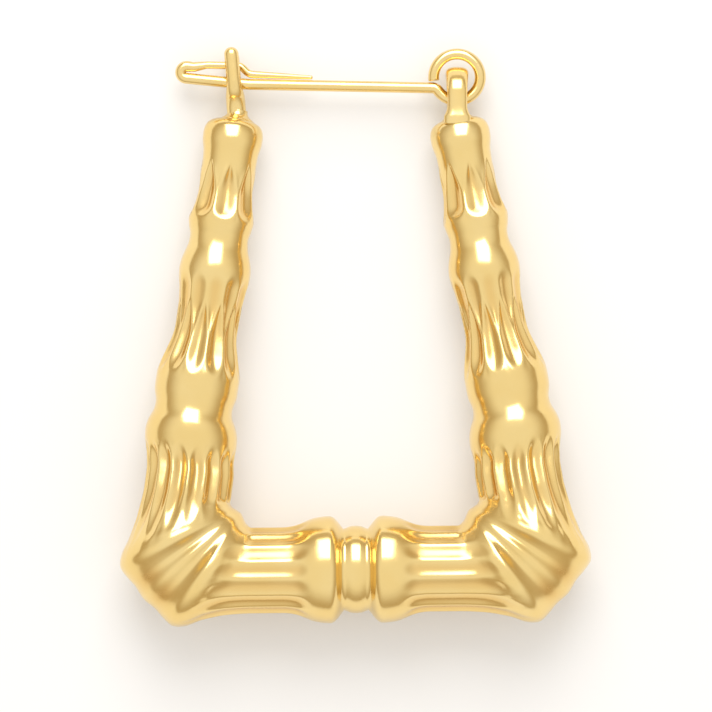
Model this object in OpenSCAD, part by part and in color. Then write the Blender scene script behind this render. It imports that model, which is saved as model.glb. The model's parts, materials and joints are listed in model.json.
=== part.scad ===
// Bamboo earring: a hollow hoop in the form of a trapezoid, with a hinged ear wire across its top.
// It lies on its back: X runs across the hoop, Y from the bottom bar up to the ear wire, and Z up.
// The hoop is drawn in its own plane, with Z = 0 in the middle of the tube, and then laid down.

/* [Hoop] */
// Length of the bottom bar between the corners of the tube's axis
bar_length = 24.1; // [22:0.1:26]
// Length of each arm, from the corner to the top of its dome
arm_length = 30.5; // [30:0.1:33]
// Lean of the left arm towards the middle, in degrees
left_lean = 7.5; // [4:0.5:11]
// Lean of the right arm towards the middle, in degrees
right_lean = 10; // [4:0.5:11]
// Rise of the bottom bar from left to right, in degrees
bar_rise = 0.6; // [0:0.1:2]
// Distance from the tube's axis to the point that a corner turns about
corner_pivot = 4.5; // [4.3:0.1:4.6]
// Thickness of the tube's wall
wall = 0.3; // [0.2:0.05:0.4]

/* [Ear wire] */
// Diameter of the ear wire
wire_d = 0.74; // [0.7:0.02:0.8]
// Radius of the eye, at the middle of the wire
eye_r = 1.56; // [1.5:0.02:1.6]
// How far the straight wire runs below the centre of the eye
wire_drop = 0.72; // [0.6:0.02:0.8]
// Rise of the straight wire towards the catch, in degrees
wire_rise = 1.1; // [0:0.1:2]
// Length of the straight wire, from the eye to its bend
wire_run = 12.5; // [12:0.1:13]
// Bend of the hairpin end upwards, in degrees
hairpin_rise = 4.5; // [3:0.5:6]
// Length of the hairpin, from the wire's bend to its fold
hairpin_run = 4.2; // [4:0.1:4.6]
// Radius of the hairpin's fold, at the middle of the wire
fold_r = 0.4; // [0.4:0.01:0.44]
// Diameter of the returning wire where it passes the fork
return_d = 0.5; // [0.4:0.02:0.6]

/* [Staple and catch] */
// Height of the hinge's centre above the top of the right dome
hinge_height = 2.73; // [2.7:0.01:2.8]
// Diameter of the staple's wire
staple_d = 1.15; // [0.9:0.05:1.15]
// Radius of the staple's bow, at the middle of its wire
staple_r = 1.2; // [1.14:0.02:1.2]
// Diameter of the catch fork's wire
fork_d = 0.96; // [0.8:0.02:1]
// Width of the fork's slot
slot_w = 1.0; // [0.94:0.02:1.1]
// Length of the fork's prongs above the ear wire
prong_length = 2.3; // [1.9:0.1:2.6]
// Lean of the fork to the left, in degrees
fork_lean = 5; // [0:0.5:6]
// How far to the right of the dome's top the fork stands
fork_shift = 0.12; // [0:0.02:0.2]

/* [Hidden] */
$fn = 48;

// Named columns of the tables below
PLACE = 0;
RADIUS = 1;
GROOVE = 2;
RINGS = 3;
BOW = 4;
OUTER = 1;
INNER = 2;
DEPTH = 3;
CUT = 4;
STEPS = 5;

// An arm from its dome down: distance from the top, radius, depth of the flutes, rings to the next row, and
// how far the axis bows outwards
arm_profile = [
  [0.00, 0.70, 0.00, 1, 0.00],
  [0.15, 1.32, 0.00, 1, 0.00],
  [0.42, 1.76, 0.00, 1, 0.00],
  [0.90, 1.98, 0.00, 1, 0.00],
  [1.45, 2.00, 0.00, 1, 0.00],
  [2.45, 1.83, 0.05, 1, 0.00],
  [4.40, 1.80, 0.18, 1, 0.00],
  [5.80, 1.96, 0.26, 1, 0.00],
  [6.40, 2.10, 0.14, 1, 0.02],
  [6.95, 2.16, 0.00, 1, 0.04],
  [8.05, 1.95, 0.00, 1, 0.02],
  [8.75, 2.02, 0.00, 1, 0.00],
  [9.55, 2.27, 0.00, 1, 0.00],
  [10.35, 2.39, 0.00, 1, 0.00],
  [11.00, 2.33, 0.12, 1, 0.00],
  [11.60, 2.22, 0.24, 2, 0.00],
  [13.40, 2.07, 0.14, 1, 0.04],
  [14.80, 2.11, 0.20, 1, 0.08],
  [15.90, 2.38, 0.30, 1, 0.12],
  [16.70, 2.60, 0.20, 1, 0.15],
  [17.70, 2.77, 0.00, 1, 0.18],
  [18.60, 2.75, 0.00, 1, 0.19],
  [19.45, 2.57, 0.00, 1, 0.19],
  [20.00, 2.65, 0.00, 1, 0.18],
  [20.60, 2.92, 0.00, 1, 0.16],
  [21.20, 3.07, 0.00, 1, 0.13],
  [21.80, 3.08, 0.00, 1, 0.09],
  [22.40, 2.96, 0.16, 1, 0.04],
  [23.00, 2.88, 0.28, 1, -0.03],
  [24.00, 2.88, 0.30, 1, -0.15]
];

// Half of the bottom bar from its middle out: distance, radius, depth of the flutes, rings to the next row
bar_profile = [
  [0.00, 2.88, 0.00, 1],
  [0.45, 2.86, 0.00, 1],
  [0.80, 2.76, 0.00, 1],
  [1.05, 2.98, 0.00, 1],
  [1.45, 3.38, 0.00, 1],
  [2.05, 3.55, 0.00, 1],
  [2.90, 3.42, 0.10, 1],
  [3.90, 3.03, 0.30, 1],
  [4.90, 2.88, 0.30, 1]
];

// A corner from the end of a straight stretch to the mitre: share of the turn, distance from the pivot to the
// outer side and to the inner side, half depth, depth of the flutes, rings to the next row
corner_profile = [
  [0.00, 7.38, 1.62, 2.88, 0.26, 1],
  [0.28, 7.70, 1.52, 2.94, 0.26, 1],
  [0.48, 8.48, 1.26, 3.29, 0.18, 1],
  [0.60, 9.36, 1.08, 3.64, 0.06, 1],
  [0.70, 9.76, 1.00, 3.74, 0.00, 1],
  [0.80, 9.64, 1.05, 3.36, 0.00, 1],
  [0.88, 9.54, 1.12, 3.12, 0.00, 1],
  [1.00, 9.64, 1.04, 3.36, 0.00, 1]
];

// The bow of an arm fades out by this share of its corner's turn
BOW_END = 0.6;

// Sides of the tube outside and inside
SIDES = 48;
CAVITY_SIDES = 10;

// Flutes around the tube in each stretch of an arm, with the turn of a crest from the tube's top, and where
// the middle and the lower stretch begin
AROUND = 0;
CREST = 1;
UPPER_FLUTES = [8, 22.5];
MIDDLE_FLUTES = [12, 0];
LOWER_FLUTES = [16, 0];
MIDDLE_ARM = 8;
LOWER_ARM = 17;

// Half of the angle that the tube turns through at each corner
left_half_turn = (90 + left_lean + bar_rise) / 2;
right_half_turn = (90 + right_lean - bar_rise) / 2;

// A direction in the plane of the hoop, and the outward one beside a direction of travel
function heading(angle) = [cos(angle), sin(angle)];
function outward(angle) = heading(angle - 90);

// Corners of the tube's axis, with the directions of travel down the left arm, along the bar and up the right
left_corner = [-bar_length / 2, 0];
right_corner = left_corner + bar_length * heading(bar_rise);
down_left = 270 - left_lean;
up_right = 90 + right_lean;
left_top = left_corner - arm_length * heading(down_left);
right_top = right_corner + arm_length * heading(up_right);

// Slope of a table's column at a row: level at the ends and where the column turns back
function slope(table, row, column) =
  row == 0 || row == len(table) - 1 ? 0 :
  let (before = table[row][column] - table[row - 1][column])
  let (after = table[row + 1][column] - table[row][column])
  before * after <= 0 ? 0 : (before + after) / (table[row + 1][PLACE] - table[row - 1][PLACE]);

// Value of a column on the smooth curve through its rows, at a share of the way from one row to the next
function between(table, row, share, column) =
  let (gap = table[row + 1][PLACE] - table[row][PLACE])
  let (rise = table[row + 1][column] - table[row][column])
  let (start = slope(table, row, column) * gap)
  let (end = slope(table, row + 1, column) * gap)
  table[row][column] + start * share + (3 * rise - 2 * start - end) * share ^ 2
    + (start + end - 2 * rise) * share ^ 3;

// Rows of a table with its in-between rings worked out
function smoothed(table, steps) = [
  for (row = [0 : len(table) - 2])
    for (step = [0 : table[row][steps] - 1])
      let (share = step / table[row][steps])
      [
        for (column = [0 : len(table[row]) - 1])
          column == PLACE
            ? table[row][PLACE] + share * (table[row + 1][PLACE] - table[row][PLACE])
            : between(table, row, share, column)
      ],
  table[len(table) - 1]
];

function reversed(list) = [for (i = [len(list) - 1 : -1 : 0]) list[i]];

// One ring of the tube: centre, outward direction, half width, half depth, and the flutes' depth and layout
function ring(centre, out, half_width, half_depth, groove, flutes) =
  [centre, out, half_width, half_depth, groove, flutes];

function flutes_at(place) =
  place < MIDDLE_ARM ? UPPER_FLUTES : place < LOWER_ARM ? MIDDLE_FLUTES : LOWER_FLUTES;

// Rings across an arm from its dome down, along the axis that leaves its top in a direction
function arm_rings(top, angle, out) = [
  for (row = smoothed(arm_profile, RINGS))
    ring(top + row[PLACE] * heading(angle) + row[BOW] * out, out,
      row[RADIUS], row[RADIUS], row[GROOVE], flutes_at(row[PLACE]))
];

// Rings across half of the bar, from its middle out
function bar_rings(angle) = [
  for (row = smoothed(bar_profile, RINGS))
    ring((left_corner + right_corner) / 2 + row[PLACE] * heading(angle), outward(bar_rise),
      row[RADIUS], row[RADIUS], row[GROOVE], LOWER_FLUTES)
];

// Rings that fan about a corner's pivot, from the outward direction of a straight stretch towards the mitre
function corner_rings(pivot, start, turn, bow = 0) = [
  for (row = smoothed(corner_profile, STEPS))
    let (out = heading(start + row[PLACE] * turn))
    let (shift = bow * max(0, 1 - row[PLACE] / BOW_END) ^ 2)
    ring(pivot + out * ((row[OUTER] + row[INNER]) / 2 + shift), out,
      (row[OUTER] - row[INNER]) / 2, row[DEPTH], row[CUT], LOWER_FLUTES)
];

// The pivot lies on the inward side of the corner, at the same distance from both axes
function pivot_of(corner, mitre, half_turn) = corner - corner_pivot / cos(half_turn) * heading(mitre);

left_mitre = bar_rise - 90 - left_half_turn;
right_mitre = bar_rise - 90 + right_half_turn;
left_pivot = pivot_of(left_corner, left_mitre, left_half_turn);
right_pivot = pivot_of(right_corner, right_mitre, right_half_turn);

function without_last(list) = [for (i = [0 : len(list) - 2]) list[i]];

arm_bow = arm_profile[len(arm_profile) - 1][BOW];
tube_rings = concat(
  arm_rings(left_top, down_left, outward(down_left)),
  without_last(corner_rings(left_pivot, down_left - 90, left_half_turn, arm_bow)),
  reversed(corner_rings(left_pivot, bar_rise - 90, -left_half_turn)),
  reversed(bar_rings(bar_rise + 180)),
  [for (i = [1 : len(bar_rings(bar_rise)) - 1]) bar_rings(bar_rise)[i]],
  without_last(corner_rings(right_pivot, bar_rise - 90, right_half_turn)),
  reversed(corner_rings(right_pivot, up_right - 90, -right_half_turn, arm_bow)),
  reversed(arm_rings(right_top, up_right + 180, outward(up_right)))
);

// Points around one ring, each side of the tube drawn in by the flutes and by an inset
function ring_points(r, sides, flute_share, inset) = [
  for (side = [0 : sides - 1])
    let (angle = side * 360 / sides)
    let (cut = inset + flute_share * r[4] * abs(sin(r[5][AROUND] * (angle - 90 - r[5][CREST]) / 2)))
    let (across = r[0] + r[1] * (r[2] - cut) * cos(angle))
    [across[0], across[1], (r[3] - cut) * sin(angle)]
];

// Triangles of a tube through rings of points, with a flat face at each end
function tube_faces(rings, sides) = concat(
  [[for (side = [sides - 1 : -1 : 0]) side]],
  [
    for (i = [0 : rings - 2])
      for (side = [0 : sides - 1])
        let (next = (side + 1) % sides)
        for (half = [0, 1])
          half == 0
            ? [i * sides + side, i * sides + next, (i + 1) * sides + side]
            : [i * sides + next, (i + 1) * sides + next, (i + 1) * sides + side]
  ],
  [[for (side = [0 : sides - 1]) (rings - 1) * sides + side]]
);

tube_points = [for (r = tube_rings) each ring_points(r, SIDES, 1, 0)];

// The cavity leaves out the rings of the domes' tops
CAVITY_FROM = 3;
cavity_rings = [for (i = [CAVITY_FROM : len(tube_rings) - 1 - CAVITY_FROM]) tube_rings[i]];

module tube() {
  difference() {
    polyhedron(tube_points, tube_faces(len(tube_rings), SIDES));
    polyhedron(
      [for (r = cavity_rings) each ring_points(r, CAVITY_SIDES, 0, wall + r[4])],
      tube_faces(len(cavity_rings), CAVITY_SIDES)
    );
  }
}

// The hinge's centre, and the bend where the straight ear wire turns up into its hairpin
hinge = right_top + [0, hinge_height];
eye_end = hinge + [-sqrt(eye_r ^ 2 - wire_drop ^ 2), -wire_drop];
wire_angle = 180 - wire_rise;
hairpin_angle = wire_angle - hairpin_rise;
wire_bend = eye_end + wire_run * heading(wire_angle);

// The fork leans from the top of the left dome. Its slot is where its axis meets the hairpin's lower strand
strand_slope = tan(180 - hairpin_angle);
fork_foot = left_top + [fork_shift, 0];
fork_rise = (wire_bend[1] - fork_foot[1] + (wire_bend[0] - fork_foot[0]) * strand_slope)
  / (1 - strand_slope * tan(fork_lean));
fork_centre = fork_foot + fork_rise * [-tan(fork_lean), 1];

// A point of the hoop's plane, as a place in space
module at(point) {
  translate([point[0], point[1], 0])
    children();
}

// A cone of solder where a fitting stands on a dome, from under the dome's top upwards
solder_d = 2.4;
solder_top_d = 1.3;
solder_sink = 0.6;
module solder_bead(height) {
  translate([0, -solder_sink, 0])
    rotate([-90, 0, 0])
      cylinder(d1 = solder_d, d2 = solder_top_d, h = solder_sink + height);
}

// A bow of wire across the plane of the hoop, with both its legs on the right dome
staple_bead = 0.4;
module hinge_staple() {
  at(hinge - [0, staple_r]) {
    rotate([0, 90, 0])
      rotate_extrude(angle = 180)
        translate([staple_r, 0])
          circle(d = staple_d);
    for (side = [-1, 1])
      translate([0, 0, side * staple_r])
        rotate([90, 0, 0])
          cylinder(d = staple_d, h = hinge_height - staple_r + solder_sink);
  }
  at(right_top)
    solder_bead(staple_bead);
}

// One prong with a round tip, standing on XZ
module prong() {
  straight = prong_length - fork_d / 2;
  rotate([-90, 0, 0])
    rotate_extrude()
      union() {
        square([fork_d / 2, straight]);
        translate([0, straight])
          intersection() {
            circle(d = fork_d);
            square(fork_d);
          }
      }
}

// Two prongs in front of and behind the ear wire, joined under it by a half ring on a stem
stem_d = fork_d + 0.3;
fork_bead = 0.35;
module catch_fork() {
  prong_at = (slot_w + fork_d) / 2;
  stem = fork_centre[1] - left_top[1] - prong_at + solder_sink;
  at(fork_centre)
    rotate([0, 0, fork_lean]) {
      for (side = [-1, 1])
        translate([0, 0, side * prong_at])
          prong();
      rotate([0, 90, 0])
        rotate([0, 0, 180])
          rotate_extrude(angle = 180)
            translate([prong_at, 0])
              circle(d = fork_d);
      translate([0, -prong_at, 0])
        rotate([90, 0, 0])
          cylinder(d = stem_d, h = stem);
    }
  at(fork_foot)
    solder_bead(fork_bead);
}

// Named columns of the ear wire's route
LENGTH = 0;
BEND = 1;
TURN = 2;
THICK = 3;

// Route of the ear wire from its eye until it has passed the fork again: length to go on, radius and angle of
// the next bend, and diameter at that bend
bend_r = 0.7;
climb = 14;
descent = 45;
lie_down = 1.8;
route_up = [
  [wire_run, bend_r, -hairpin_rise, wire_d],
  [hairpin_run, fold_r, -180, wire_d],
  [0.35, bend_r, climb, (2 * wire_d + return_d) / 3],
  [0.75, bend_r, hairpin_rise - climb, return_d],
  [1.9, bend_r, -descent, return_d]
];

// How far a route ends up to the left of its start, seen along its first direction
function drift(route, step = 0, angle = 0) =
  step == len(route) ? 0 :
  let (next = angle + route[step][TURN])
  route[step][LENGTH] * sin(angle) + sign(route[step][TURN]) * route[step][BEND] * (cos(angle) - cos(next))
    + drift(route, step + 1, next);

// The descent is as long as it takes to come down on the straight wire, and the tapered end lies along it
wire_gap = 0.05;
lie_height = (wire_d + return_d) / 2 + wire_gap;
lie_bend = [0, bend_r, descent - lie_down, return_d];
descent_length = (-lie_height - drift(concat(route_up, [lie_bend]))) / sin(descent);
wire_tip_d = 0.25;
wire_tip_length = 4;
wire_route = concat(route_up, [
  [descent_length, bend_r, descent - lie_down, return_d],
  [wire_tip_length, 0, 0, wire_tip_d]
]);

// A length of wire and the bend after it, again and again along a route
module follow(route, step = 0) {
  if (step < len(route)) {
    before = step == 0 ? wire_d : route[step - 1][THICK];
    rotate([0, 90, 0])
      cylinder(d1 = before, d2 = route[step][THICK], h = route[step][LENGTH]);
    translate([route[step][LENGTH], 0, 0])
      bend(route[step][BEND], route[step][TURN], route[step][THICK])
        follow(route, step + 1);
  }
}

// A bend of the wire from the origin along X, to the left if its angle is above 0, with its children at the end
module bend(radius, angle, thick) {
  side = angle < 0 ? -1 : 1;
  if (angle == 0) {
    children();
  } else {
    translate([0, side * radius, 0]) {
      rotate([0, 0, angle < 0 ? 90 + angle : -90])
        rotate_extrude(angle = abs(angle))
          translate([radius, 0])
            circle(d = thick);
      rotate([0, 0, angle])
        translate([0, -side * radius, 0])
          children();
    }
  }
}

module ear_wire_flat() {
  at(hinge)
    rotate_extrude()
      translate([eye_r, 0])
        circle(d = wire_d);
  at(eye_end)
    rotate([0, 0, wire_angle])
      follow(wire_route);
}

// The hoop rests on its corner joints and on its domes, so it is tilted down towards its top
corner_rest = max([for (row = corner_profile) row[DEPTH]]);
dome_rest = arm_profile[4][RADIUS];
rest_span = (arm_length - arm_profile[4][PLACE]) * cos(left_lean);
rest_tilt = -asin((corner_rest - dome_rest) / rest_span);

function tilted(point) = [
  point[0],
  point[1] * cos(rest_tilt) - point[2] * sin(rest_tilt),
  point[1] * sin(rest_tilt) + point[2] * cos(rest_tilt)
];

// The origin is under the middle of the hoop's box, from the bar's corners to the tips of the fork
tilted_points = [for (point = tube_points) tilted(point)];
prong_tip = fork_centre + prong_length * heading(90 + fork_lean);
fork_top = tilted([prong_tip[0], prong_tip[1], (slot_w + fork_d) / 2])[1];
low = [for (axis = [0 : 2]) min([for (point = tilted_points) point[axis]])];
high_x = max([for (point = tilted_points) point[0]]);

module laid_down() {
  translate([-(low[0] + high_x) / 2, -(low[1] + fork_top) / 2, -low[2]])
    rotate([rest_tilt, 0, 0])
      children();
}

module bamboo_hoop() {
  color("goldenrod")
    laid_down() {
      tube();
      hinge_staple();
      catch_fork();
    }
}

module ear_wire() {
  color("gold")
    laid_down()
      ear_wire_flat();
}

bamboo_hoop();
ear_wire();
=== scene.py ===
"""Looks of the bamboo earring in polished gold: the hoop's fluted tube, staple and fork, and the ear wire.

Lengths are millimetres in the hoop's own plane and turns are degrees, as in the part's source. laid() takes
points from there to the shared frame, in metres, and the floor, wall, light and camera are made in metres.
"""

import json
import math

import bmesh
import bpy
import numpy as np
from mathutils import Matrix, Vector


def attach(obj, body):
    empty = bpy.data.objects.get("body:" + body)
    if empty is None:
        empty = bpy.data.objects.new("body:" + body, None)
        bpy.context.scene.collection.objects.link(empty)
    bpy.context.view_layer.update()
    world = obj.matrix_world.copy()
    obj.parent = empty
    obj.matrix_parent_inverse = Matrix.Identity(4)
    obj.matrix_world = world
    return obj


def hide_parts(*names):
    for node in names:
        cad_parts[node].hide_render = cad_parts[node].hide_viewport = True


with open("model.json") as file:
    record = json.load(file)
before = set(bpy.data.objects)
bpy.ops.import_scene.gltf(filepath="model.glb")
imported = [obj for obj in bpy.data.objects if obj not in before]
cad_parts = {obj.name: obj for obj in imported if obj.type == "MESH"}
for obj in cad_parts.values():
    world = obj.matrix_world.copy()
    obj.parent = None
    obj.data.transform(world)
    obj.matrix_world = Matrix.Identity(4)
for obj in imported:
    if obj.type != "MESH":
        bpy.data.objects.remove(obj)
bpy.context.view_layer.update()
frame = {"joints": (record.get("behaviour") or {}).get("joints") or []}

MM = 0.001

# The hoop: two arms lean outwards from a bar, and its corners turn about pivots inside them
BAR_LENGTH = 24.1
ARM_LENGTH = 30.5
LEFT_LEAN = 7.5
RIGHT_LEAN = 10.0
BAR_RISE = 0.6
CORNER_PIVOT = 4.5
REST_TILT = -3.46355
HINGE_HEIGHT = 2.73

# An arm from its dome down: distance from the top, radius, and how far the axis bows outwards
ARM_PROFILE = [
    (0.00, 0.70, 0.00), (0.15, 1.32, 0.00), (0.42, 1.76, 0.00), (0.90, 1.98, 0.00), (1.45, 2.00, 0.00),
    (2.45, 1.83, 0.00), (4.40, 1.80, 0.00), (5.80, 1.96, 0.00), (6.40, 2.10, 0.02), (6.95, 2.16, 0.04),
    (7.50, 2.08, 0.04), (8.05, 1.95, 0.02), (8.70, 2.01, 0.00), (9.20, 2.17, 0.00), (9.70, 2.31, 0.00),
    (10.35, 2.39, 0.00), (11.00, 2.33, 0.00), (11.60, 2.22, 0.00), (13.40, 2.07, 0.04), (14.80, 2.11, 0.08),
    (15.90, 2.38, 0.12), (16.70, 2.60, 0.15), (17.70, 2.77, 0.18), (18.60, 2.75, 0.19), (19.45, 2.57, 0.19),
    (20.00, 2.65, 0.18), (20.60, 2.92, 0.16), (21.20, 3.07, 0.13), (21.80, 3.08, 0.09), (22.40, 2.96, 0.04),
    (23.00, 2.88, -0.03), (24.00, 2.88, -0.15),
]

# How much deeper than its radius an arm is, at a distance from its top. It steers where highlights fall
ARM_LIFT = [
    (0.0, 0.0), (0.15, -0.10), (0.42, -0.16), (0.90, -0.12), (1.45, -0.02), (2.0, 0.0), (12.8, 0.0),
    (13.8, 0.06), (14.9, 0.14), (15.9, 0.08), (16.8, 0.0), (18.5, 0.0), (19.45, 0.12), (20.1, 0.13),
    (21.0, 0.0), (22.3, -0.12), (23.1, 0.01), (24.2, 0.23), (25.4, 0.40),
]

# Half of the bottom bar from its middle out: distance, radius
BAR_PROFILE = [
    (0.00, 2.91), (0.45, 2.85), (0.80, 2.70), (1.05, 3.00), (1.40, 3.42), (1.75, 3.56), (2.30, 3.52),
    (2.90, 3.40), (3.50, 3.17), (4.10, 2.97), (4.90, 2.88),
]

# A corner from a straight stretch to the mitre: share of the turn, distance from the pivot to the outer
# and the inner side, half depth
CORNER_PROFILE = [
    (0.00, 7.38, 1.62, 2.88), (0.28, 7.70, 1.48, 2.94), (0.48, 8.48, 1.30, 3.29), (0.60, 9.36, 1.19, 3.64),
    (0.70, 9.76, 1.12, 3.74), (0.80, 9.64, 1.07, 3.36), (0.88, 9.54, 1.04, 3.12), (1.00, 9.64, 1.02, 3.36),
]
# The share at which an arm's bow and lift have died out in a corner, and how far its flutes run on into it
BOW_END = 0.6
CORNER_ARC = 3.9
# The beads' swelling reaches its full height where one plus the cosine round the tube is this much
BEAD_REACH = 1.1
# The share from which the flutes are gone on a corner's inner side
FLUSH_FROM = 0.25
# Painted shade in the fold beside the mitre: middle and width as a share of the turn, and as the cosine
# round the tube, and how strongly it is painted
FOLD_SHARE = (0.9, 0.08)
FOLD_COSINE = (0.72, 0.22)
FOLD_SHADE = 1.4

# Where an arm's dome ends, and how far apart its rings are up to there
DOME_END = 1.4
DOME_STEP = 0.09


def arm_flutes(first_turn, second_turn, third_turn):
    """Runs of flutes down an arm.

    Each run has its start, where its flutes are at full width, where they begin to close, its end, how many
    go round the tube, the turn of the first crest from the tube's top (to the right in the photo), the
    depth near the start and near the end, and whether the start and the end are points (if not, scallops).
    """
    return [
        (3.1, 5.1, 6.1, 6.95, 8, first_turn, 0.26, 0.32, True, False),
        (10.6, 11.5, 12.4, 14.9, 12, second_turn + 15, 0.14, 0.08, False, True),
        (12.4, 14.6, 15.9, 17.5, 12, second_turn, 0.20, 0.32, True, False),
        (22.0, 23.4, 25.6, 27.8, 16, third_turn, 0.36, 0.22, False, False),
    ]


LEFT_FLUTES = arm_flutes(28.5, 8.0, 0.0)
RIGHT_FLUTES = arm_flutes(28.5, 1.5, 11.25)
BAR_FLUTES = [(3.1, 3.9, 8.3, 9.3, 16, 10.0, 0.11, 0.13, False, False)]

# How far along the tube a flute may differ from its neighbours, and by what share of its depth
FLUTE_SHIFT = 0.12
FLUTE_LUCK = 0.16
# Powers that fill out a flute's outline and its section, its least width, and how soon it is at full depth
LEAF_POWER = 0.8
SECTION_POWER = 0.85
LEAST_WIDTH = 0.04
DEPTH_GROWTH = 1.8
# Rims between flutes: height, width, growth with the flute's width, how they start and end along it, and
# the depth of flute at which they have their full height
RIM = 0.035
RIM_WIDTH = 0.17
RIM_GROWTH = 2.5
RIM_START = 0.5
RIM_END = 4
RIM_DEPTH = 0.2

# How finely the tube is divided: points round it, and rings on an arm, on half a corner and on half the bar
SIDES = 192
ARM_RINGS = 121
CORNER_RINGS = 37
BAR_RINGS = 34
ANGLES = np.arange(SIDES) * 360.0 / SIDES
COSINES, SINES = np.cos(np.radians(ANGLES)), np.sin(np.radians(ANGLES))

# The staple: radius of its bow, half width and half thickness of its strap, how far it reaches above the
# eye's middle, the power that shapes its arch, how deep its legs go into the dome, over what length and how
# much they flare above it, and how much broader the strap is at the top of the bow
STAPLE_R = 1.2
STAPLE_W = 0.66
STAPLE_T = 0.42
STAPLE_LIFT = 0.22
ARCH = 1.3
LEG_SUNK = 0.55
LEG_FLARE_RUN = 0.7
LEG_FLARE = 0.24
CROWN_FLARE = 0.12

# The fork: diameter and gap of its prongs, their length, its lean and shift, half the width of its stem,
# how deep that goes into the dome, and over what length and how much deeper it is where the bow ends in it
FORK_D = 0.96
SLOT_W = 1.0
PRONG = 2.3
FORK_LEAN = 5.0
FORK_SHIFT = 0.12
STEM_R = 0.64
STEM_SUNK = 0.6
STEM_BLEND_RUN = 0.9
STEM_BLEND = 0.44

# The ear wire: diameter, radius of its eye, where the straight stretch leaves it, its rise and its length
WIRE_D = 0.74
EYE_R = 1.56
WIRE_DROP = 0.72
WIRE_RISE = 1.1
WIRE_RUN = 12.5
# Its hairpin: rise, length, radius of the fold, and the returning end's diameter and gap to the wire
HAIRPIN_RISE = 4.5
HAIRPIN_RUN = 4.2
FOLD_R = 0.4
RETURN_D = 0.5
RETURN_GAP = 0.05
TIP_D = 0.25


def heading(angle):
    return np.array([math.cos(math.radians(angle)), math.sin(math.radians(angle))])


def plane3(point):
    """A point or direction in the hoop's plane, in space."""
    return np.array([point[0], point[1], 0.0])


def unit(v):
    return v / np.linalg.norm(v, axis=-1, keepdims=True)


def smooth(t):
    return t * t * (3 - 2 * t)


def bell(x, middle, width):
    return np.exp(-(((x - middle) / width) ** 2))


def hermite(table, place):
    """Columns of a table at a place, on the smooth curve that the part's source draws through its rows."""
    rows = np.array(table)
    i = int(np.clip(np.searchsorted(rows[:, 0], place, side="right") - 1, 0, len(rows) - 2))
    gap = rows[i + 1, 0] - rows[i, 0]

    def slope(k):
        if k in (0, len(rows) - 1):
            return np.zeros(rows.shape[1])
        before, after = rows[k] - rows[k - 1], rows[k + 1] - rows[k]
        level = before * after <= 0
        return np.where(level, 0, (before + after) / (rows[k + 1, 0] - rows[k - 1, 0]))

    t = (place - rows[i, 0]) / gap
    rise, start, end = rows[i + 1] - rows[i], slope(i) * gap, slope(i + 1) * gap
    out = rows[i] + start * t + (3 * rise - 2 * start - end) * t**2 + (start + end - 2 * rise) * t**3
    return out[1:]


# Where the stretches and corners lie in the hoop's plane
left_half, right_half = (90 + LEFT_LEAN + BAR_RISE) / 2, (90 + RIGHT_LEAN - BAR_RISE) / 2
left_cut, right_cut = (CORNER_PIVOT * math.tan(math.radians(half)) for half in (left_half, right_half))
down_left, up_right = 270 - LEFT_LEAN, 90 + RIGHT_LEAN
left_corner = np.array([-BAR_LENGTH / 2, 0.0])
right_corner = left_corner + BAR_LENGTH * heading(BAR_RISE)
left_top = left_corner - ARM_LENGTH * heading(down_left)
right_top = right_corner + ARM_LENGTH * heading(up_right)
left_mitre, right_mitre = BAR_RISE - 90 - left_half, BAR_RISE - 90 + right_half
left_pivot = left_corner - CORNER_PIVOT / math.cos(math.radians(left_half)) * heading(left_mitre)
right_pivot = right_corner - CORNER_PIVOT / math.cos(math.radians(right_half)) * heading(right_mitre)
hinge = right_top + np.array([0, HINGE_HEIGHT])
eye_end = hinge + np.array([-math.sqrt(EYE_R**2 - WIRE_DROP**2), -WIRE_DROP])

# The joint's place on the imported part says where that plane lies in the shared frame
joint = np.array(frame["joints"][0]["pos_m"]) / MM
c, s = math.cos(math.radians(REST_TILT)), math.sin(math.radians(REST_TILT))
TILT = np.array([[1, 0, 0], [0, c, -s], [0, s, c]])
SHIFT = joint - TILT @ plane3(hinge)


def laid(points):
    """Points of the hoop's own space, in millimetres, as places in the shared frame, in metres."""
    places = (np.asarray(points, float) @ TILT.T + SHIFT) * MM
    places[:, 2] = np.maximum(places[:, 2], 0)
    return places


def placed(name, verts, faces):
    """A smooth-shaded mesh object in the scene."""
    mesh = bpy.data.meshes.new(name)
    mesh.from_pydata(verts.tolist(), [], faces)
    for polygon in mesh.polygons:
        polygon.use_smooth = True
    piece = bpy.data.objects.new(name, mesh)
    bpy.context.scene.collection.objects.link(piece)
    return piece


def mesh_piece(name, verts, faces, hollow):
    """A piece of the earring: faces turned outwards, and how hollow each point is, which its material
    paints darker.
    """
    piece = placed(name, laid(verts), faces)
    work = bmesh.new()
    work.from_mesh(piece.data)
    bmesh.ops.recalc_face_normals(work, faces=work.faces)
    work.to_mesh(piece.data)
    work.free()
    layer = piece.data.attributes.new("hollow", "FLOAT", "POINT")
    layer.data.foreach_set("value", np.asarray(hollow, np.float32))
    return piece


def joined(name, parts):
    """One mesh piece out of several (points, faces)."""
    faces, start = [], 0
    for points, own_faces in parts:
        faces += [tuple(i + start for i in face) for face in own_faces]
        start += len(points)
    return mesh_piece(name, np.concatenate([points for points, _ in parts]), faces, np.zeros(start))


def grid_faces(rows, sides):
    """Faces of a skin over rings of points."""
    faces = []
    for row in range(rows - 1):
        a, b = row * sides, (row + 1) * sides
        for k in range(sides):
            n = (k + 1) % sides
            faces.append((a + k, a + n, b + n, b + k))
    return faces


def capped(rings, start, end):
    """Points and faces of a skin over rings of points, closed by fans about a start and an end point."""
    rows, sides = len(rings), len(rings[0])
    faces, first, last = grid_faces(rows, sides), rows * sides, rows * sides + 1
    for k in range(sides):
        n = (k + 1) % sides
        faces.append((first, n, k))
        faces.append((last, (rows - 1) * sides + k, (rows - 1) * sides + n))
    return np.concatenate([*rings, [start], [end]]), faces


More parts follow.
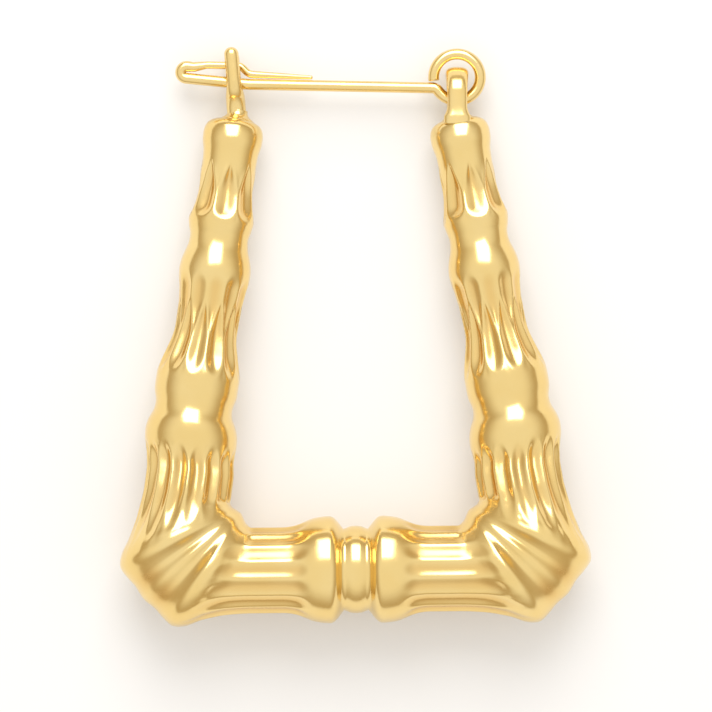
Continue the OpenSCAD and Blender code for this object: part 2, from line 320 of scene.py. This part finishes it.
def circle(sides):
    """Cosines and sines of a ring's points, as columns."""
    turn = np.arange(sides) * 2 * math.pi / sides
    return np.cos(turn)[:, None], np.sin(turn)[:, None]


def valley(place, radius, runs, way=1):
    """How deep the flutes cut in at each of ANGLES, at a place along the tube, and how hollow it is there.

    Each flute is a leaf-shaped hollow between narrow raised rims, a little different from its neighbours.
    way is 1 where the angles run to the right over the tube's top, as on the left arm, or else -1.
    """
    cut, hollow = np.zeros_like(ANGLES), np.zeros_like(ANGLES)
    for run, row in enumerate(runs):
        start, full, wane, end, count, turn, first, last, start_points, end_points = row
        pitch = 360.0 / count
        across = (ANGLES - 90 - way * turn) / pitch
        flute = np.floor(across).astype(int) % count
        # Each run's draws are its own, so that they don't change with the other runs
        luck = np.random.default_rng(100 * run + count).uniform(-1, 1, (2, count))[:, flute]
        if not start < place < end + FLUTE_SHIFT:
            continue
        here = place + FLUTE_SHIFT * luck[0] * (place - start) / (end - start)
        t = np.clip((here - start) / (end - start), 0, 1)
        depth = (first + (last - first) * smooth(t)) * (1 + FLUTE_LUCK * luck[1])
        opening = np.clip((full - here) / (full - start), 0, 1)
        closing = np.clip((here - wane) / (end - wane), 0, 1)
        width = 1.0 - opening * start_points - closing * end_points
        width = np.clip(width, LEAST_WIDTH, 1) ** LEAF_POWER
        edge = opening * (not start_points) + closing * (not end_points)
        u = across % 1.0 * 2 - 1
        far = np.sqrt((u / width) ** 2 + edge**2)
        bowl = (0.5 + 0.5 * np.cos(math.pi * np.clip(far, 0, 1))) ** SECTION_POWER
        bowl *= np.clip(width * DEPTH_GROWTH, 0, 1)
        reach = math.radians(pitch / 2) * radius * width
        rim = bell((far - 1) * reach, 0, RIM_WIDTH) * np.clip(width * RIM_GROWTH, 0, 1)
        rim *= np.clip(t * (end - start) / RIM_START, 0, 1) * np.clip((1 - edge) * RIM_END + 0.5, 0, 1)
        cut += depth * bowl - RIM * rim * np.minimum(1, depth / RIM_DEPTH)
        hollow = np.maximum(hollow, bowl)
    return cut, hollow


def arm_path(top, angle, out, length, runs, way):
    """Rings down an arm: centre, direction outwards, half width and depth, cut and hollow at each angle."""
    places = [0.0, 0.05, 0.1, *np.arange(0.15, DOME_END, DOME_STEP)]
    places += list(np.linspace(DOME_END, length, ARM_RINGS)[:-1])
    rings = []
    for place in places:
        radius, bow = hermite(ARM_PROFILE, min(place, ARM_PROFILE[-1][0]))
        (lift,) = hermite(ARM_LIFT, place)
        centre = top + place * heading(angle) + out * bow
        rings.append((centre, out, radius, radius + lift, *valley(place, radius, runs, way)))
    return rings


def corner_path(pivot, start, turn, from_run, runs, way=1, bow=0.0, lift=0.0):
    """Rings of half a corner, fanned about its pivot, from a straight stretch to the mitre.

    The beads swell towards its outer side. They are flush on the inner one, where the flutes fade out too.
    """
    outwards = smooth(np.clip((1 + COSINES) / BEAD_REACH, 0, 1))
    start_depth, end_depth = CORNER_PROFILE[0][3], CORNER_PROFILE[-1][3]
    rings = []
    for share in np.linspace(0, 1, CORNER_RINGS):
        outer, inner, depth = hermite(CORNER_PROFILE, share)
        depth += lift * (1 - min(1, share / BOW_END) ** 3)
        swing = math.sin(math.pi / 2 * share) ** 2
        plain = start_depth + lift + (end_depth - start_depth - lift) * swing
        depth = plain + (depth - plain) * outwards
        out = heading(start + share * turn)
        cut, hollow = valley(from_run + share * CORNER_ARC, (outer - inner) / 2, runs, way)
        flush = 1 - (1 - outwards) * min(1, share / FLUSH_FROM)
        # Painted shade: the fold beside the mitre counts as a hollow, so the gold is painted darker there
        fold_shade = bell(share, *FOLD_SHARE) * bell(COSINES, *FOLD_COSINE)
        hollow = np.maximum(hollow * flush, FOLD_SHADE * fold_shade)
        centre = pivot + out * ((outer + inner) / 2 + bow * max(0, 1 - share / BOW_END) ** 2)
        rings.append((centre, out, (outer - inner) / 2, depth, cut * flush, hollow))
    return rings


def bar_path(middle, angle, out, length):
    """Rings of half the bar, from its middle out."""
    rings = []
    for place in np.linspace(0, length, BAR_RINGS)[:-1]:
        (radius,) = hermite(BAR_PROFILE, min(place, BAR_PROFILE[-1][0]))
        centre = middle + place * heading(angle)
        rings.append((centre, out, radius, radius, *valley(place, radius, BAR_FLUTES)))
    return rings


def tube_piece():
    """The tube from the left dome down its arm, along the bar, and up the right arm to its dome."""
    middle, down = (left_corner + right_corner) / 2, heading(BAR_RISE - 90)
    left_arm, right_arm = ARM_LENGTH - left_cut, ARM_LENGTH - right_cut
    left_bar, right_bar = BAR_LENGTH / 2 - left_cut, BAR_LENGTH / 2 - right_cut
    ends = {"bow": ARM_PROFILE[-1][2], "lift": ARM_LIFT[-1][1]}
    out_left, out_right = down_left - 90, up_right - 90

    rings = arm_path(left_top, down_left, heading(out_left), left_arm, LEFT_FLUTES, 1)
    rings += corner_path(left_pivot, out_left, left_half, left_arm, LEFT_FLUTES, **ends)
    rings += corner_path(left_pivot, BAR_RISE - 90, -left_half, left_bar, BAR_FLUTES)[::-1][1:]
    rings += bar_path(middle, BAR_RISE + 180, down, left_bar)[::-1]
    rings += bar_path(middle, BAR_RISE, down, right_bar)[1:]
    rings += corner_path(right_pivot, BAR_RISE - 90, right_half, right_bar, BAR_FLUTES)
    upper = corner_path(right_pivot, out_right, -right_half, right_arm, RIGHT_FLUTES, -1, **ends)
    rings += upper[::-1][1:]
    rings += arm_path(right_top, up_right + 180, heading(out_right), right_arm, RIGHT_FLUTES, -1)[::-1]

    skin = []
    for centre, out, wide, deep, cut, _ in rings:
        across = centre + out * ((wide - cut) * COSINES)[:, None]
        skin.append(np.column_stack([across, (deep - cut) * SINES]))
    verts, faces = capped(skin, plane3(rings[0][0]), plane3(rings[-1][0]))
    return mesh_piece("hoop_tube", verts, faces, np.concatenate([*(ring[-1] for ring in rings), [0, 0]]))


def lathe(base, axis, profile, sides=64):
    """A turned form: rows of (height, radius) about an axis in the hoop's plane, from a base point."""
    co, si = circle(sides)
    side = np.array([0, 0, 1.0])
    other = np.cross(axis, side)
    rings = [base + axis * height + radius * (co * side + si * other) for height, radius in profile]
    return capped(rings, base + axis * profile[0][0], base + axis * profile[-1][0])


def solder(base, axis, height, top=0.62):
    """A fillet of solder that flows from inside the dome up round a fitting's foot, with a rounded top."""
    foot, hollowing, crown, least = 0.98, 2.6, 0.04, 0.001
    rows = [(-0.6, foot + 0.34), (-0.12, foot + 0.15)]
    for t in np.linspace(0, 1, 14):
        rows.append((height * t, top + (foot - top) * (1 - t) ** hollowing))
    for t in np.linspace(0, math.pi / 2, 6)[1:]:
        rows.append((height + crown * math.sin(t), max(top * math.cos(t), least)))
    return lathe(base, axis, rows)


def strap(path, side, wide, thick, power, sides=56):
    """A bar along a path, with a rounded oblong section: half widths along a side direction and across it.

    A power of 2 gives an ellipse, and a higher one squares it off.
    """
    path, side = np.asarray(path, float), np.asarray(side, float)
    u, v = (np.sign(w) * np.abs(w) ** (2 / power) for w in circle(sides))
    rings = []
    for i in range(len(path)):
        along = path[min(i + 1, len(path) - 1)] - path[max(i - 1, 0)]
        across = unit(np.cross(side, along))
        rings.append(path[i] + wide[i] * u * side + thick[i] * v * across)
    return capped(rings, path[0], path[-1])


def flare(places, start, run):
    """How far a leg has flared at each place along it, from 0 at a start to 1 a run further on."""
    return np.clip((places - start) / run, 0, 1) ** 2


def staple_piece():
    """A strap bent into a bow across the plane of the hoop, broad at its top and at its feet."""
    bow = plane3(hinge - [0, STAPLE_R - STAPLE_LIFT])
    foot = HINGE_HEIGHT - STAPLE_R + STAPLE_LIFT + LEG_SUNK
    leg = np.linspace(foot, 0.1, 26)
    turn = np.radians(np.linspace(180, 0, 49))
    path = [bow + [0, -y, -STAPLE_R] for y in leg]
    for t in turn:
        reach = math.copysign(abs(math.cos(t)) ** ARCH, math.cos(t))
        path.append(bow + [0, STAPLE_R * math.sin(t) ** ARCH, STAPLE_R * reach])
    path += [bow + [0, -y, STAPLE_R] for y in leg[::-1]]
    spread = LEG_FLARE * flare(leg, foot - LEG_SUNK - LEG_FLARE_RUN, LEG_FLARE_RUN)
    crown = CROWN_FLARE * np.sin(turn) ** 2
    # The strap thickens by a share of what it broadens
    foot_share, crown_share = 0.2, 0.5
    wide = STAPLE_W + np.concatenate([spread, crown, spread[::-1]])
    thick = STAPLE_T + np.concatenate([spread * foot_share, crown * crown_share, spread[::-1] * foot_share])
    fillet = solder(plane3(right_top), plane3(heading(up_right)), 0.5)
    return joined("hinge_staple", [strap(path, [1, 0, 0], wide, thick, 2.6), fillet])


def fork_piece():
    """Two prongs that stand up out of one bow, on a stem that runs smoothly into the dome."""
    # The fork's bow is where the line of the wire's hairpin crosses the fork's own axis
    wire_bend = eye_end + WIRE_RUN * heading(180 - WIRE_RISE)
    slope, lean = math.tan(math.radians(WIRE_RISE + HAIRPIN_RISE)), math.tan(math.radians(FORK_LEAN))
    foot = left_top + [FORK_SHIFT, 0]
    rise = (wire_bend[1] - foot[1] + (wire_bend[0] - foot[0]) * slope) / (1 - slope * lean)
    middle = plane3(foot + rise * np.array([-lean, 1]))
    up, side = plane3(heading(90 + FORK_LEAN)), plane3(heading(FORK_LEAN))
    at, half = (SLOT_W + FORK_D) / 2, FORK_D / 2

    tip = np.radians(np.linspace(90, 0, 10))
    shank = np.linspace(PRONG - half, 0.1, 20)[1:]
    heights = np.concatenate([PRONG - half + half * np.sin(tip), shank])
    prong = half * np.concatenate([np.maximum(np.cos(tip), 0.02), np.ones(len(shank))])
    turn = np.radians(np.linspace(180, 0, 41))
    path = [middle + up * y + [0, 0, -at] for y in heights]
    path += [middle - up * at * math.sin(t) + [0, 0, at * math.cos(t)] for t in turn]
    path += [middle + up * y + [0, 0, at] for y in heights[::-1]]
    wide = np.concatenate([prong, half + (STEM_R - half) * np.sin(turn) ** 1.5, prong[::-1]])
    thick = np.concatenate([prong, np.full(len(turn), half), prong[::-1]])
    prongs = strap(path, side, wide, thick, 2.2)

    down = np.linspace(0.0, middle[1] - left_top[1] - at + STEM_SUNK, 30)
    stem_path = [middle - up * (at + y) for y in down]
    depth = STEM_R + STEM_BLEND * flare(-down, -STEM_BLEND_RUN, STEM_BLEND_RUN)
    stem = strap(stem_path, side, np.full(len(down), STEM_R), depth, 2.1)
    fillet = solder(plane3(foot), -plane3(heading(down_left)), 0.55, top=STEM_R)
    return joined("catch_fork", [prongs, stem, fillet])


def round_wire(path, radii, sides=36):
    """A round wire along a path in the hoop's plane, with its ends closed."""
    path, (co, si) = np.asarray(path, float), circle(sides)
    steps = unit(np.diff(path, axis=0))
    along = unit(np.vstack([steps[:1], steps[:-1] + steps[1:], steps[-1:]]))
    side = np.array([0, 0, 1.0])
    rings = [p + r * (co * side + si * np.cross(a, side)) for p, r, a in zip(path, radii, along)]
    return capped(rings, path[0], path[-1])


def rounded_end(path, radii, rounding):
    """A path and its radii with their end drawn in over a quarter circle, so that it isn't a sharp disc."""
    ahead = unit(path[-1] - path[-2])
    base, radius = path[-1] - ahead * rounding, radii[-1]
    while np.dot(path[-1] - base, ahead) > 0:
        path, radii = path[:-1], radii[:-1]
    for t in np.radians(np.linspace(0, 90, 7)):
        path = [*path, base + ahead * rounding * math.sin(t)]
        radii = [*radii, radius - rounding * (1 - math.cos(t))]
    return path, radii


def route_points(start, angle, route, first_d):
    """Points and radii along a flat route of (length, bend radius, turn, diameter) rows."""
    p, a, d = np.array(start, float), angle, first_d
    points, radii, step, turn_step = [p.copy()], [d / 2], 0.25, 7
    for length, bend, turn, thick in route:
        for t in np.linspace(0, 1, max(2, int(length / step)) + 1)[1:]:
            points.append(p + heading(a) * length * t)
            radii.append((d + (thick - d) * t) / 2)
        p, d = p + heading(a) * length, thick
        if turn:
            side = 1 if turn > 0 else -1
            centre = p + side * bend * heading(a + 90)
            for t in np.linspace(0, 1, max(3, int(abs(turn) / turn_step)) + 1)[1:]:
                points.append(centre - side * bend * heading(a + turn * t + 90))
                radii.append(thick / 2)
            a += turn
            p = points[-1].copy()
    return points, radii


def drift(route):
    """How far a route ends to the left of the line that it starts along."""
    total, a = 0.0, 0.0
    for length, bend, turn, _ in route:
        side, b = 1 if turn > 0 else -1, a + turn
        total += length * math.sin(math.radians(a))
        total += side * bend * (math.cos(math.radians(a)) - math.cos(math.radians(b)))
        a = b
    return total


def ear_wire_piece():
    """The ear wire from its eye's end round the eye, across to the hairpin and back onto itself."""
    # The wire leaves its eye by a small kink that is tangent to the eye and to the straight stretch
    kink, eye_start = 0.46, 189
    d, n = heading(180 - WIRE_RISE), heading(90 - WIRE_RISE)
    away = abs(np.dot(hinge - eye_end, n))
    run_back = math.sqrt((EYE_R + kink) ** 2 - (away + kink) ** 2)
    kink_at = hinge + d * run_back - n * (away + kink)
    start = kink_at + n * kink
    leave = math.degrees(math.atan2(*(kink_at - hinge)[::-1])) % 360
    eye = [hinge + EYE_R * heading(a) for a in np.linspace(eye_start, leave - 360, 72)]
    first, last = leave - 180, 90 - WIRE_RISE
    turn = (last - first + 180) % 360 - 180
    eye += [kink_at + kink * heading(first + turn * t) for t in np.linspace(0, 1, 9)[1:-1]]

    # The returning end climbs out of the fold, comes down to the straight stretch and lies along it
    bend, climb, descent, lie_down = 0.7, 14.0, 45.0, 1.8
    route = [
        (WIRE_RUN - np.dot(start - eye_end, d), bend, -HAIRPIN_RISE, WIRE_D),
        (HAIRPIN_RUN, FOLD_R, -180, WIRE_D),
        (0.35, bend, climb, (2 * WIRE_D + RETURN_D) / 3),
        (0.75, bend, HAIRPIN_RISE - climb, RETURN_D),
        (1.9, bend, -descent, RETURN_D),
    ]
    lie_height = (WIRE_D + RETURN_D) / 2 + RETURN_GAP
    fall = -lie_height - drift([*route, (0, bend, descent - lie_down, RETURN_D)])
    route.append((fall / math.sin(math.radians(descent)), bend, descent - lie_down, RETURN_D))
    route.append((4, 0, 0, TIP_D))
    points, radii = route_points(start, 180 - WIRE_RISE, route, WIRE_D)

    path = [plane3(p) for p in eye + points]
    radii = [WIRE_D / 2] * len(eye) + radii
    eye_rounding, tip_rounding = 0.07, 0.12
    path, radii = rounded_end(path[::-1], radii[::-1], eye_rounding)
    path, radii = rounded_end(path[::-1], radii[::-1], tip_rounding)
    return joined("ear_wire_bright", [round_wire(path, radii)])


def blank_material(name):
    material = bpy.data.materials.new(name)
    material.use_nodes = True
    return material, material.node_tree, material.node_tree.nodes["Principled BSDF"]


# The gold's colour, what it is multiplied by in cloudy patches and in the hollows, which are darkened as
# painted shade with some tarnish, and how far a full hollow is so darkened in colour and roughened
GOLD = np.array([0.895, 0.685, 0.305])
CLOUDY = np.array([0.98, 0.94, 0.84])
SHADE_AND_TARNISH_TINT = np.array([0.86, 0.70, 0.50])
HOLLOW_SHADE_AND_TARNISH = 0.5
HOLLOW_ROUGHENED = 0.07


def gold(name, rough):
    """Polished yellow gold: slight shifts of colour and gloss, a fine grain, and hollows painted darker as
    shade with some tarnish, and rougher.
    """
    material, tree, bsdf = blank_material(name)
    new, link = tree.nodes.new, tree.links.new
    coord = new("ShaderNodeTexCoord")
    hollow = new("ShaderNodeAttribute")
    hollow.attribute_name = "hollow"

    def noise(scale, detail):
        node = new("ShaderNodeTexNoise")
        node.inputs["Scale"].default_value = scale
        node.inputs["Detail"].default_value = detail
        link(coord.outputs["Object"], node.inputs["Vector"])
        return node

    cloud, grain = noise(260, 3), noise(2600, 4)
    ramp = new("ShaderNodeValToRGB")
    low, high = ramp.color_ramp.elements
    low.position, high.position = 0.35, 0.65
    low.color, high.color = (*(GOLD * CLOUDY), 1), (*GOLD, 1)
    link(cloud.outputs["Fac"], ramp.inputs["Fac"])

    # Painted shade with some tarnish: the hollows are mixed towards a darker gold
    shade_and_tarnish = new("ShaderNodeMix")
    shade_and_tarnish.data_type = "RGBA"
    shade_and_tarnish.inputs["B"].default_value = (*(GOLD * SHADE_AND_TARNISH_TINT), 1)
    depth = new("ShaderNodeMath")
    depth.operation = "MULTIPLY"
    depth.inputs[1].default_value = HOLLOW_SHADE_AND_TARNISH
    link(hollow.outputs["Fac"], depth.inputs[0])
    link(depth.outputs[0], shade_and_tarnish.inputs["Factor"])
    link(ramp.outputs["Color"], shade_and_tarnish.inputs["A"])
    link(shade_and_tarnish.outputs["Result"], bsdf.inputs["Base Color"])
    bsdf.inputs["Metallic"].default_value = 1.0

    spread = new("ShaderNodeMapRange")
    spread.inputs["To Min"].default_value = rough - 0.04
    spread.inputs["To Max"].default_value = rough + 0.05
    link(grain.outputs["Fac"], spread.inputs["Value"])
    dull = new("ShaderNodeMath")
    dull.operation = "MULTIPLY_ADD"
    dull.inputs[1].default_value = HOLLOW_ROUGHENED
    link(hollow.outputs["Fac"], dull.inputs[0])
    link(spread.outputs["Result"], dull.inputs[2])
    link(dull.outputs[0], bsdf.inputs["Roughness"])

    bump = new("ShaderNodeBump")
    bump.inputs["Strength"].default_value = 0.12
    bump.inputs["Distance"].default_value = 0.00002
    link(grain.outputs["Fac"], bump.inputs["Height"])
    link(bump.outputs["Normal"], bsdf.inputs["Normal"])
    return material


tube_gold = gold("polished_gold", 0.17)
fitting_gold = gold("fitting_gold", 0.2)
wire_gold = gold("wire_gold", 0.15)
for piece, material, body, node in [
    (tube_piece(), tube_gold, "hoop", "bamboo_hoop"),
    (staple_piece(), fitting_gold, "hoop", "bamboo_hoop"),
    (fork_piece(), fitting_gold, "hoop", "bamboo_hoop"),
    (ear_wire_piece(), wire_gold, "wire", "ear_wire"),
]:
    piece.data.materials.append(material)
    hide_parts(node)
    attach(piece, body)


def paper():
    """White paper with a painted glow, which lightens the shadows on it, as on an overexposed floor."""
    material, _, bsdf = blank_material("white_paper")
    bsdf.inputs["Base Color"].default_value = (0.70, 0.69, 0.68, 1)
    # Painted light: an even glow that lightens the shadows on the floor and the wall
    bsdf.inputs["Emission Color"].default_value = (1, 1, 1, 1)
    bsdf.inputs["Emission Strength"].default_value = 0.19
    bsdf.inputs["Roughness"].default_value = 0.85
    return material


def floor(material):
    r = 0.6
    verts = np.array([(-r, -r, 0), (r, -r, 0), (r, r, 0), (-r, r, 0)])
    piece = placed("floor", verts, [(0, 1, 2, 3)])
    piece.data.materials.append(material)


def wall(material):
    """A round cove behind the floor. Only the camera sees it, so the room's light stays as it is."""
    radius, bend, height, sides = 0.58, 0.12, 0.5, 96
    rows = []
    for t in np.linspace(0, math.pi / 2, 13):
        rows.append((radius - bend * (1 - math.sin(t)), bend * (1 - math.cos(t))))
    rows.append((radius, height))
    co, si = circle(sides)
    rings = [np.hstack([r * co, r * si, np.full((sides, 1), z)]) for r, z in rows]
    piece = placed("wall", np.concatenate(rings), grid_faces(len(rows), sides))
    piece.data.materials.append(material)
    piece.visible_diffuse = piece.visible_glossy = piece.visible_shadow = False


def softbox():
    """The main light, beyond the ear wire, which puts the highlights on slopes that face that way."""
    elevation, distance = math.radians(42), 0.40
    place = Vector((0, math.cos(elevation) * distance, math.sin(elevation) * distance))
    data = bpy.data.lights.new("softbox", "AREA")
    data.shape = "RECTANGLE"
    data.size, data.size_y = 0.28, 0.34
    data.energy = 1.1
    light = bpy.data.objects.new("softbox", data)
    light.location = place
    light.rotation_mode = "QUATERNION"
    light.rotation_quaternion = (-place).to_track_quat("-Z", "Y")
    bpy.context.scene.collection.objects.link(light)


def room():
    """A studio that is bright overhead, and darker and warmer towards the floor, for the gold's shades."""
    world = bpy.data.worlds.new("studio")
    bpy.context.scene.world = world
    world.use_nodes = True
    new, link = world.node_tree.nodes.new, world.node_tree.links.new
    sky, axes = new("ShaderNodeTexCoord"), new("ShaderNodeSeparateXYZ")
    rise, shade = new("ShaderNodeMapRange"), new("ShaderNodeMix")
    rise.interpolation_type = "SMOOTHSTEP"
    rise.inputs["From Min"].default_value = 0.05
    rise.inputs["From Max"].default_value = 0.8
    shade.data_type = "RGBA"
    shade.inputs["A"].default_value = (0.56, 0.465, 0.325, 1)
    shade.inputs["B"].default_value = (0.99, 0.975, 0.95, 1)
    link(sky.outputs["Generated"], axes.inputs[0])
    link(axes.outputs["Z"], rise.inputs["Value"])
    link(rise.outputs["Result"], shade.inputs["Factor"])
    link(shade.outputs["Result"], world.node_tree.nodes["Background"].inputs["Color"])


def camera():
    """A long lens straight above, far enough off for the photo's 15 pixels to the millimetre."""
    pixels, pixels_per_mm = 712, 15
    x, y, z = 0.00003, -0.00133, 0.003
    data = bpy.data.cameras.new("camera")
    data.lens = 250
    data.sensor_width = 36
    data.clip_start, data.clip_end = 0.01, 10
    cam = bpy.data.objects.new("camera", data)
    bpy.context.scene.collection.objects.link(cam)
    distance = data.lens / data.sensor_width * pixels / pixels_per_mm * MM
    cam.location = (x, y, z + distance)
    bpy.context.scene.camera = cam


white = paper()
floor(white)
wall(white)
softbox()
room()
camera()
bpy.context.scene.view_settings.view_transform = "Standard"
